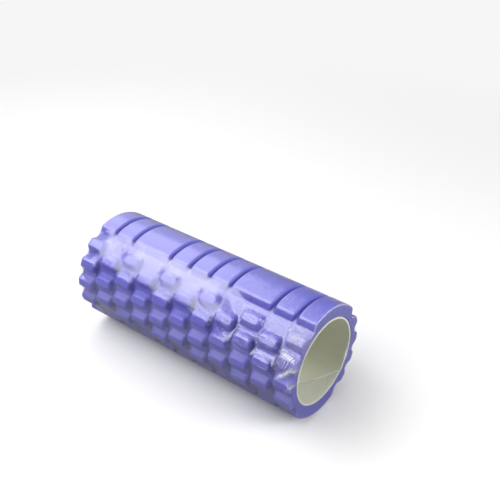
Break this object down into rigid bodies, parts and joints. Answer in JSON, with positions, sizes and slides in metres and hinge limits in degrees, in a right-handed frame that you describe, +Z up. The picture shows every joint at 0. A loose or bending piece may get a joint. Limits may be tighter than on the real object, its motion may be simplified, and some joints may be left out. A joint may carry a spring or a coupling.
{
  "type": "foam roller",
  "caption": "Massage foam roller: hollow rigid core tube in a thick foam sleeve with smooth grooved bands and staggered rounded knobs, in a clear shrink film.",
  "frame": {"origin": "on the floor, under the middle of the roller's axis, the roller lying on its side", "axes": "+X along the roller's axis, +Z up, +Y to the back; a smooth band faces up and slightly back, a knob zone faces the front (-Y)"},
  "size_m": [0.33, 0.1412, 0.1412],
  "materials": {
    "foam": "satin moulded EVA foam, fine closed-cell grain",
    "core": "satin extruded ivory plastic",
    "film": "clear glossy shrink film"
  },
  "bodies": {
    "root": {"foam_sleeve": "foam", "core_tube": "core", "shrink_film": "film"}
  },
  "joints": []
}
